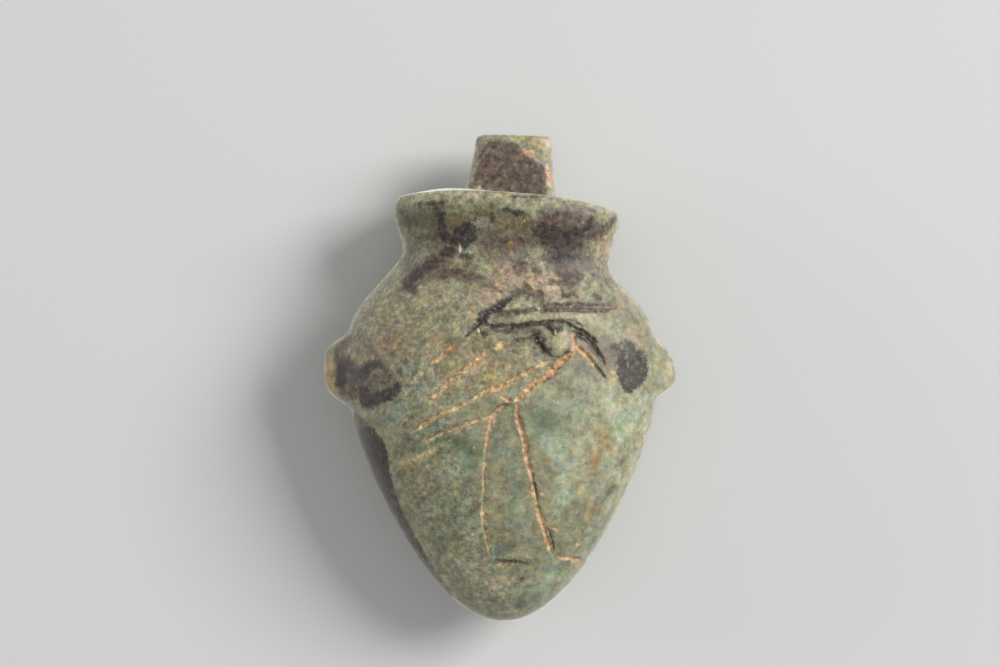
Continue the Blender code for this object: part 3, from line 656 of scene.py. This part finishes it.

# Broad tints of the stone itself, and painted highlights along the top edges of the lip and the lug:
# colour, softness of the edge in mm, and where
STONE_COLOUR = "#8E8C73"
TINTS = [
    ("#8E866E", 3.0, [(-13.0, 36.3, 2.5), (-10.0, 34.5, 3.0), (-6.0, 35.8, 2.0)]),
    ("#887B64", 2.0, [(-13.6, 31.2, 2.0), (-11.3, 31.5, 1.5)]),
    ("#92866A", 2.0, [(-8.0, 31.2, 1.5), (-5.0, 31.8, 1.5), (-2.3, 31.2, 1.5)]),
    ("#A08F70", 2.0, [(-5.7, 27.5, 1.2), (-3.4, 28.9, 1.2), (0.0, 29.3, 1.2), (3.0, 28.5, 1.0)]),
    ("#B09E70", 0.8, [(-1.3, 27.9, 0.7), (0.3, 27.6, 0.7)]),
    ("#98957A", 2.0, [(-8.0, 24.0, 1.5), (-4.5, 25.0, 1.5), (0.0, 25.5, 1.2)]),
    ("#9E9F89", 2.5, [(11.3, 26.1, 2.0), (14.1, 25.0, 1.5), (7.0, 23.5, 2.5), (9.1, 20.4, 2.0),
                      (11.5, 17.0, 2.0)]),
    ("#9C9878", 1.5, [(11.5, 23.8, 1.0), (11.5, 19.5, 1.2), (10.0, 17.5, 1.0)]),
    ("#909C86", 1.0, [(7.0, 24.3, 1.0), (6.5, 21.0, 1.2), (8.0, 18.5, 0.8)]),
    ("#909C86", 1.0, [(14.2, 23.6, 0.8), (13.3, 21.0, 0.7)]),
    ("#7D8972", 0.8, [(4.5, 23.6, 0.7), (3.9, 22.3, 0.6)]),
    ("#A9A88C", 1.0, [(17.0, 25.5, 0.6), (16.4, 22.7, 0.6), (14.9, 18.2, 0.6), (12.4, 13.4, 0.5)]),
    ("#86876F", 1.5, [(8.5, 10.3, 1.0), (6.8, 8.6, 1.0)]),
    ("#727B6D", 0.9, [(10.9, 13.8, 0.6), (11.8, 14.8, 0.7)]),
    ("#594E40", 0.45, [(12.7, 15.3, 0.42), (12.2, 14.6, 0.30)]),
    ("#5A5546", 0.4, [(13.5, 18.1, 0.25)]),
    ("#A58455", 0.5, [(10.1, 17.1, 0.36), (11.8, 21.5, 0.26)]),
    ("#CDB694", 0.4, [(5.2, 37.5, 0.30), (6.1, 37.5, 0.34)]),
    ("#94704F", 0.4, [(0.1, 44.9, 0.30)]),
    ("#AEA27C", 0.5, [(12.3, 19.0, 0.36), (12.8, 19.5, 0.34)]),
    ("#8F7B57", 0.7, [(10.9, 13.1, 0.40), (9.6, 12.8, 0.35)]),
    ("#A29A58", 0.5, [(-19.5, 29.2, 0.50), (-19.6, 27.8, 0.60), (-19.0, 26.3, 0.50)]),
    ("#A9B39C", 0.9, [(13.2, 23.9, 0.7), (14.6, 22.6, 0.5), (13.6, 21.5, 0.4)]),
    ("#A6B29C", 1.0, [(5.5, 20.7, 0.6), (7.3, 16.0, 0.5), (7.0, 13.8, 0.5)]),
    ("#66735F", 0.9, [(5.7, 22.6, 0.6), (4.2, 23.1, 0.4)]),
    ("#A4A185", 1.2, [(8.6, 21.3, 0.7), (9.2, 14.5, 0.7)]),
    ("#77806A", 1.5, [(-3.4, 19.3, 1.2), (-4.5, 20.8, 1.2), (-7.0, 21.6, 1.0)]),
    ("#858367", 2.0, [(-9.3, 19.0, 1.5), (-9.6, 15.0, 1.5), (-7.9, 13.0, 1.0)]),
    ("#8C967B", 1.0, [(-4.6, 17.2, 1.0), (-2.8, 18.8, 0.7)]),
    ("#8C967B", 1.0, [(-12.2, 22.8, 0.7), (-11.8, 24.0, 0.8)]),
    ("#A2946A", 0.7, [(-10.7, 18.0, 0.6), (-9.6, 18.4, 0.5), (-8.1, 19.0, 0.5)]),
    ("#5F6B58", 0.9, [(-5.9, 10.1, 0.7), (-6.6, 8.7, 0.5)]),
    ("#5F6E5C", 0.9, [(-0.2, 8.5, 0.8), (0.6, 8.6, 0.5)]),
    ("#66705B", 0.8, [(-4.8, 20.7, 0.7), (-2.6, 19.7, 0.4)]),
    ("#66705E", 0.8, [(-9.2, 20.0, 0.6)]),
    ("#555D49", 0.6, [(-1.2, 2.6, 0.55)]),
    ("#5A624F", 0.6, [(2.4, 2.4, 0.50)]),
    ("#433D2E", 0.4, [(2.4, 4.9, 0.38)]),
    ("#8E887A", 1.0, [(8.8, 28.8, 0.7), (10.4, 27.6, 0.7)]),
    ("#8A6A45", 0.6, [(0.4, 10.5, 0.3), (0.2, 9.4, 0.25)]),
    ("#6B7965", 0.8, [(6.8, 6.4, 0.4)]),
    ("#7F836A", 2.0, [(-4.5, 14.0, 1.5), (-5.7, 10.3, 1.5)]),
    ("#8B937D", 1.0, [(0.4, 19.7, 0.8), (1.3, 16.9, 0.8), (2.0, 11.5, 0.8)]),
    ("#9B9474", 1.0, [(-0.4, 17.8, 0.5), (-0.2, 14.8, 0.5)]),
    ("#9D9A84", 2.0, [(-4.0, 5.7, 1.5), (-2.3, 3.5, 1.2), (1.1, 4.6, 1.2)]),
    ("#959F8C", 1.2, [(5.7, 5.7, 1.0), (4.5, 4.0, 0.9)]),
    ("#A3917C", 1.5, [(-2.8, 36.5, 0.8), (-1.1, 36.9, 0.8), (0.3, 38.4, 0.8)]),
    ("#A18D78", 1.5, [(0.3, 39.6, 1.0), (2.6, 38.9, 1.0), (4.8, 38.2, 0.8), (7.5, 37.0, 0.8)]),
    ("#8B826F", 2.0, [(13.0, 36.5, 1.2), (14.5, 34.3, 1.2), (15.5, 31.8, 1.0)]),
    ("#80786D", 1.2, [(11.3, 31.4, 0.8), (12.2, 29.5, 0.8)]),
    ("#7A6D5F", 1.2, [(-1.1, 41.5, 1.0), (1.1, 41.2, 1.0), (3.2, 40.6, 0.8)]),
    ("#6C6256", 1.2, [(-10.0, 40.4, 1.0), (-8.2, 40.4, 0.9), (-6.2, 38.9, 0.6), (-1.8, 38.1, 0.5)]),
    ("#5B5450", 1.0, [(6.8, 40.6, 1.5), (9.1, 40.6, 1.2), (7.4, 38.6, 0.8)]),
    ("#7E7267", 1.2, [(11.5, 40.8, 0.8), (12.7, 39.1, 0.7)]),
    ("#646048", 1.0, [(-11.5, 45.5, 1.2), (-8.0, 45.0, 1.6), (-5.0, 44.5, 1.6), (-9.5, 42.8, 1.0)]),
    ("#6C6247", 0.7, [(-5.1, 45.6, 0.9), (-5.0, 44.3, 0.5)]),
    ("#6E654C", 0.9, [(-2.0, 45.9, 0.9), (0.6, 44.6, 1.2), (2.7, 44.6, 1.0)]),
    ("#5E4F41", 0.8, [(-1.1, 43.1, 0.7), (1.4, 42.7, 0.8), (3.4, 42.9, 0.7)]),
    ("#6A615A", 1.0, [(5.1, 45.6, 0.8), (7.2, 46.0, 0.7), (9.6, 45.2, 0.7)]),
    ("#A58C74", 0.8, [(11.6, 42.9, 0.5), (11.8, 41.7, 0.5)]),
    ("#554B48", 0.9, [(5.1, 43.1, 1.2), (7.4, 42.5, 1.2), (10.4, 44.3, 1.0)]),
    # Painted highlight: a pale band along the top edge of the lip, where the light from above catches it.
    ("#A39B82", 0.5, [(-10.4, 47.3, 0.3), (-6.8, 48.0, 0.35), (-2.3, 48.0, 0.4), (2.3, 47.5, 0.45),
                      (6.8, 46.9, 0.4), (11.3, 46.3, 0.35)]),
    ("#A3948C", 0.8, [(-1.6, 49.3, 1.2), (-0.9, 52.0, 1.7), (1.7, 51.2, 2.2), (4.0, 50.4, 1.9)]),
    # Painted highlight: a thin pale band along the top of the lug, lit from above.
    ("#B4AB84", 0.5, [(1.7, 54.4, 0.35), (4.5, 54.2, 0.6), (5.4, 53.6, 0.6)]),
    ("#A58F66", 0.5, [(-19.3, 28.9, 0.7), (-19.3, 27.0, 0.7)]),
]


def inside_spots(places, rows):
    """How far in mm each place lies inside the nearest row of spots, or outside if negative."""
    inside = np.full(len(places), -3.0)
    front = places[:, 2] > MIDDLE_DEPTH - 3.0
    for row in rows:
        spots = np.array(row)
        reach = spots[:, 2].max() + 3.0
        off = np.abs(places[:, :2] - spots[:, :2].mean(axis=0))
        spread = np.ptp(spots[:, :2], axis=0) * (0.5, 1.0) + reach + (3.0, 0.0)
        near = np.flatnonzero(front & (off < spread).all(axis=1))
        flat = places[near, :2]
        behind = np.clip(MIDDLE_DEPTH - places[near, 2], 0.0, None)
        for start, end in zip(spots, np.vstack([spots[1:], spots[-1:]])):
            run = end[:2] - start[:2]
            share = np.clip(((flat - start[:2]) @ run) / max(float(run @ run), 1e-9), 0.0, 1.0)
            gap = np.hypot(*(flat - start[:2] - share[:, None] * run).T)
            depth = mix(start[2], end[2], share) - np.hypot(gap, behind)
            inside[near] = np.maximum(inside[near], depth)
    return inside


def film_behind(places):
    """The unseen back keeps a few dark patches of the same kind."""
    dice = np.random.default_rng(7)
    back = places[places[:, 2] < MIDDLE_DEPTH - 1.5]
    inside = np.full(len(places), -3.0)
    for _ in range(16):
        x, y = dice.uniform(-13.0, 13.0), dice.uniform(8.0, 47.0)
        radius = dice.uniform(0.5, 2.2)
        middle = back[np.argmin(np.hypot(back[:, 0] - x, back[:, 1] - y))]
        off = (places - middle) * (dice.uniform(0.5, 1.2), 1.0, 1.0)
        inside = np.maximum(inside, radius - np.sqrt((off ** 2).sum(axis=1)))
    return np.minimum(inside, MIDDLE_DEPTH - 0.5 - places[:, 2])


def linear(hex_colour):
    channels = [int(hex_colour[start:start + 2], 16) / 255 for start in (1, 3, 5)]
    return tuple(
        value / 12.92 if value <= 0.04045 else ((value + 0.055) / 1.055) ** 2.4
        for value in channels
    ) + (1.0,)


def stone_tints(places, normals):
    """The stone's own colour at each place, its clouds run together, and pale painted rim light at the
    sides.
    """
    tint = np.tile(linear(STONE_COLOUR), (len(places), 1))
    warp = 1.3 * rough(places, 2.6, 6) + 0.7 * rough(places, 1.0, 8)
    for colour, softness, row in TINTS:
        inside = inside_spots(places, [row]) + warp * softness / 2.0
        share = ease(np.clip(0.5 + inside / (2.0 * softness), 0.0, 1.0))[:, None]
        tint = mix(tint, np.array(linear(colour)), share)
    # Painted rim light: the front half is painted paler where the surface turns to the side, where light
    # catches the edges.
    painted_rim_light = ease(np.clip((places[:, 2] - MIDDLE_DEPTH + 4.0) / 4.0, 0.0, 1.0))
    painted_rim_light *= ease(np.clip((0.48 - np.abs(normals[:, 2])) / 0.32, 0.0, 1.0)) * (0.70 + 0.2 * warp)
    return mix(tint, np.array(linear("#C2BCA8")), np.clip(painted_rim_light, 0.0, 0.8)[:, None])


def vectors(items, name):
    values = np.empty(len(items) * 3)
    items.foreach_get(name, values)
    return values.reshape(-1, 3)


def keep(mesh, name, values):
    layer = mesh.attributes.new(name, "FLOAT", "POINT")
    layer.data.foreach_set("value", values.astype(np.float32))


def carve_stone():
    mesh = blank_mesh()
    stone = bpy.data.objects.new("heart_amulet_stone", mesh)
    bpy.context.scene.collection.objects.link(stone)
    drill_bore(stone)
    mesh = stone.data
    refine_near_heron(mesh)
    places = vectors(mesh.vertices, "co")
    normals = vectors(mesh.vertex_normals, "vector")
    cut, fills = engrave(places)
    moved = places + normals * (cut + wear(places))[:, None]
    moved[:, 2] = np.maximum(moved[:, 2], 0.0)
    # The film on the lug ends at its foot, and fades over the top of the rim in front of it.
    before_lug = np.clip(places[:, 2] - MIDDLE_DEPTH - LUG_FRONT - 0.1, 0.0, None)
    before_lug *= places[:, 1] > RIM_EDGE + 0.7
    film = np.maximum(inside_spots(places, FILM) - 1.2 * before_lug, fills["film"])
    keep(mesh, "film", np.maximum(film, film_behind(places)))
    keep(mesh, "soot", np.maximum(inside_spots(places, SOOT), fills["soot"]))
    keep(mesh, "haze", np.maximum(inside_spots(places, HAZE), fills["haze"]))
    # The dirt kept here includes painted shade along the upper edges of the cuts.
    keep(mesh, "dirt_and_painted_shade", fills["dirt_and_painted_shade"])
    keep(mesh, "earth", np.maximum(inside_spots(places, EARTH), fills["earth"]))
    keep(mesh, "straw", fills["straw"])
    keep(mesh, "pale", np.maximum(inside_spots(places, PALE), fills["bare"]))
    # Painted glints: small white spots laid into the colour as highlights.
    keep(mesh, "painted_glint", inside_spots(places, PAINTED_GLINTS))
    keep(mesh, "coarse", ease(np.clip(0.55 + inside_spots(places, COARSE) / 6.0, 0.3, 1.0)))
    tint = mesh.color_attributes.new("tint", "FLOAT_COLOR", "POINT")
    tint.data.foreach_set("color", stone_tints(places, normals).ravel())
    moved[:, 1] += POINT_Y / MM
    moved *= MM
    mesh.vertices.foreach_set("co", moved.ravel())
    mesh.update()
    mesh.shade_smooth()
    return stone


# Polished green stone, ground and rubbed smooth, then buried and worn. It gives a low waxy
# gloss, a dusty sheen at the sides, and a mottle of grey green, olive and tan with grains of
# ochre, dark and pale stone half a millimetre to a millimetre and a half across.
def add(tree, kind, values=None, links=None, **properties):
    """Add a node with its properties, its sockets' values and its links."""
    made = tree.nodes.new(kind)
    for name, value in properties.items():
        setattr(made, name, value)
    for socket, value in (values or {}).items():
        made.inputs[socket].default_value = value
    for socket, source in (links or {}).items():
        tree.links.new(source, made.inputs[socket])
    return made


def polished_green_stone():
    material = bpy.data.materials.new("polished_green_stone")
    material.use_nodes = True
    tree = material.node_tree
    shader = tree.nodes["Principled BSDF"]
    here = add(tree, "ShaderNodeTexCoord").outputs["Object"]

    def cloud(size, detail, seed):
        """A cloudy pattern, one of its largest clouds every so many mm."""
        values = {"Scale": 1.0 / (size * MM), "Detail": detail, "Roughness": 0.7, "W": seed}
        made = add(tree, "ShaderNodeTexNoise", values, {"Vector": here}, noise_dimensions="4D")
        return made.outputs[0]

    def between(value, low_edge, high_edge):
        values = {"From Min": low_edge, "From Max": high_edge}
        made = add(tree, "ShaderNodeMapRange", values, {"Value": value}, interpolation_type="SMOOTHSTEP")
        return made.outputs[0]

    def patches(size, detail, seed, low_edge, high_edge):
        """Patches of a cloudy pattern: 0 under the low edge, 1 over the high edge."""
        return between(cloud(size, detail, seed), low_edge, high_edge)

    def times(first, second):
        values = {1: second} if isinstance(second, float) else {}
        links = {0: first} if isinstance(second, float) else {0: first, 1: second}
        return add(tree, "ShaderNodeMath", values, links, operation="MULTIPLY").outputs[0]

    def blend(amount, under, over):
        """Two colours, or one laid over another, mixed by an amount."""
        values = {}
        links = {0: amount}
        for socket, colour in ((6, under), (7, over)):
            if isinstance(colour, str):
                values[socket] = linear(colour)
            elif isinstance(colour, tuple):
                values[socket] = colour + (1.0,)
            else:
                links[socket] = colour
        return add(tree, "ShaderNodeMix", values, links, data_type="RGBA").outputs[2]

    def toned(colour, amount, dark, light):
        """The colour times a tone that runs from dark to light with the amount."""
        links = {6: colour, 7: blend(amount, dark, light)}
        made = add(tree, "ShaderNodeMix", {0: 1.0}, links, data_type="RGBA", blend_type="MULTIPLY")
        return made.outputs[2]

    def grey(tone):
        return (tone, tone, tone)

    def kept(name, output):
        """What was kept with the mesh under a name."""
        return add(tree, "ShaderNodeAttribute", attribute_name=name).outputs[output]

    def stain(name, soft, ragged, size, seed):
        """1 inside a stain and 0 outside, with an edge that strays by so many mm."""
        values = {1: 4.0 * ragged, 2: -2.0 * ragged}
        stray = add(tree, "ShaderNodeMath", values, {0: cloud(size, 4.0, seed)}, operation="MULTIPLY_ADD")
        links = {0: kept(name, "Fac"), 1: stray.outputs[0]}
        depth = add(tree, "ShaderNodeMath", {}, links, operation="ADD").outputs[0]
        return between(depth, -soft, soft)

    # The stone: broad tones and warm and cool clouds, then light, ochre, dark and pale grains, the pale
    # ones also painted glints
    colour = kept("tint", "Color")
    colour = toned(colour, patches(2.4, 3.0, 1.0, 0.38, 0.62), (0.85, 0.86, 0.82), (1.15, 1.13, 1.09))
    colour = toned(colour, patches(0.9, 1.0, 2.0, 0.36, 0.64), (0.92, 1.02, 1.01), (1.09, 0.98, 0.95))
    colour = toned(colour, patches(1.0, 0.5, 3.0, 0.36, 0.64), (1.01, 1.01, 0.87), (0.99, 0.99, 1.07))
    colour = blend(times(patches(1.6, 3.0, 4.0, 0.56, 0.70), 0.45), colour, "#96A492")
    colour = blend(times(patches(0.7, 2.0, 5.0, 0.64, 0.74), 0.55), colour, "#B3875A")
    colour = blend(times(patches(0.6, 2.0, 6.0, 0.63, 0.72), 0.60), colour, "#474334")
    # Pale grains of stone that also stand in for tiny glints: painted highlights.
    colour = blend(times(patches(0.5, 1.0, 7.0, 0.68, 0.76), 0.60), colour, "#C0BA98")
    colour = blend(times(stain("pale", 0.25, 0.35, 0.6, 8.0), 0.5), colour, "#B9AE88")

    # A thin brown haze with darker flecks, and dirt along the cuts with painted shade on their upper edges
    haze_share = stain("haze", 0.45, 0.5, 0.8, 9.0)
    colour = blend(times(haze_share, 0.5), colour, "#665747")
    flecks = times(haze_share, patches(0.9, 4.0, 22.0, 0.54, 0.64))
    colour = blend(times(flecks, 0.8), colour, "#352B27")
    # Dirt in and round the cuts, and painted shade along the upper edges of the earth, film and straw cuts.
    dirt_and_shade_share = times(stain("dirt_and_painted_shade", 0.12, 0.16, 0.4, 23.0), patches(0.9, 3.0, 24.0, 0.30, 0.48))
    colour = blend(times(dirt_and_shade_share, 0.7), colour, "#4E4030")

    # The purple-brown film and its black cores, with gaps where the stone shows
    film = blend(patches(0.7, 4.0, 10.0, 0.40, 0.62), "#3A2A21", "#6F5A4D")
    film_share = times(stain("film", 0.22, 0.33, 0.5, 11.0), patches(0.8, 4.0, 12.0, 0.22, 0.42))
    colour = blend(times(film_share, 0.84), colour, film)
    soot = blend(patches(0.6, 4.0, 13.0, 0.44, 0.66), "#1E1714", "#51423B")
    soot_share = times(stain("soot", 0.20, 0.40, 0.5, 14.0), patches(0.6, 3.0, 15.0, 0.28, 0.46))
    colour = blend(times(soot_share, 0.9), colour, soot)

    # Ochre and straw-coloured earth in the cuts
    earth = blend(patches(0.8, 3.0, 16.0, 0.38, 0.60), "#B07B50", "#E6BB8F")
    earth_share = times(stain("earth", 0.12, 0.20, 0.45, 17.0), patches(0.9, 3.0, 18.0, 0.30, 0.48))
    colour = blend(times(earth_share, 0.8), colour, earth)
    straw = blend(patches(0.7, 3.0, 26.0, 0.38, 0.62), "#B98F5C", "#E9CA98")
    straw_share = times(stain("straw", 0.10, 0.16, 0.45, 27.0), patches(0.7, 3.0, 28.0, 0.32, 0.50))
    colour = blend(times(straw_share, 0.85), colour, straw)

    # Light and dark grains over everything, stronger where the surface is coarse, and the painted glints
    colour = toned(colour, patches(0.9, 4.0, 19.0, 0.28, 0.72), grey(0.62), grey(1.38))
    sandy = toned(colour, patches(0.5, 4.0, 25.0, 0.30, 0.70), grey(0.58), grey(1.42))
    colour = blend(kept("coarse", "Fac"), colour, sandy)
    colour = blend(stain("painted_glint", 0.06, 0.05, 0.3, 20.0), colour, "#D5CFBE")
    tree.links.new(colour, shader.inputs["Base Color"])

    # The film and the soot shine a little more than the stone. Its rubbed grain is finer than
    # this bump of a quarter of a millimetre, which is drawn as coarse as it needs to show.
    links = {0: film_share, 1: soot_share}
    dark_share = add(tree, "ShaderNodeMath", {}, links, operation="MAXIMUM").outputs[0]
    roughness = add(tree, "ShaderNodeMapRange", {"To Min": 0.55, "To Max": 0.45}, {"Value": dark_share})
    tree.links.new(roughness.outputs[0], shader.inputs["Roughness"])
    relief = {"Strength": 0.5, "Distance": 0.09 * MM}
    bump = add(tree, "ShaderNodeBump", relief, {"Height": cloud(0.25, 3.0, 21.0)})
    tree.links.new(bump.outputs[0], shader.inputs["Normal"])
    shader.inputs["IOR"].default_value = 1.5
    shader.inputs["Sheen Weight"].default_value = 0.75
    shader.inputs["Sheen Roughness"].default_value = 0.4
    return material


stone = carve_stone()
stone.data.materials.clear()
stone.data.materials.append(polished_green_stone())
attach(stone, "root")
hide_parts("heart_amulet")


# The table and the light. A plain pale table top, a large soft light from the upper right,
# a weaker one from the left and an even glow all round, as in a product photograph.
def pale_table():
    material = bpy.data.materials.new("pale_table")
    material.use_nodes = True
    shader = material.node_tree.nodes["Principled BSDF"]
    shader.inputs["Base Color"].default_value = linear("#D8D8D6")
    shader.inputs["Roughness"].default_value = 0.7
    return material


def soft_light(name, place, size, power):
    data = bpy.data.lights.new(name, "AREA")
    data.shape = "RECTANGLE"
    data.size, data.size_y = size
    data.energy = power
    light = bpy.data.objects.new(name, data)
    bpy.context.scene.collection.objects.link(light)
    light.location = place
    aim = Vector((0.0, 0.0, MIDDLE_DEPTH * MM)) - Vector(place)
    light.rotation_euler = aim.to_track_quat("-Z", "Y").to_euler()


TABLE_HALF = 1.5
TABLE_GAP = 0.0001
table_mesh = bpy.data.meshes.new("table")
table_corners = [(x * TABLE_HALF, y * TABLE_HALF, 0.0) for x, y in ((-1, -1), (1, -1), (1, 1), (-1, 1))]
table_mesh.from_pydata(table_corners, [], [(0, 1, 2, 3)])
table = bpy.data.objects.new("table", table_mesh)
bpy.context.scene.collection.objects.link(table)
table.location.z = -TABLE_GAP
table_mesh.materials.append(pale_table())

soft_light("key_light", (0.95, 0.45, 0.75), (0.60, 0.60), 16.0)
soft_light("fill_light", (-0.95, 0.30, 0.22), (0.50, 0.30), 2.5)
world = bpy.data.worlds.new("soft_room")
world.use_nodes = True
world.node_tree.nodes["Background"].inputs["Color"].default_value = linear("#F4F5F7")
world.node_tree.nodes["Background"].inputs["Strength"].default_value = 0.42
bpy.context.scene.world = world


# The corners of a box, as lists of plain numbers.
def corners(box):
    return [[float(value) for value in point] for point in box]
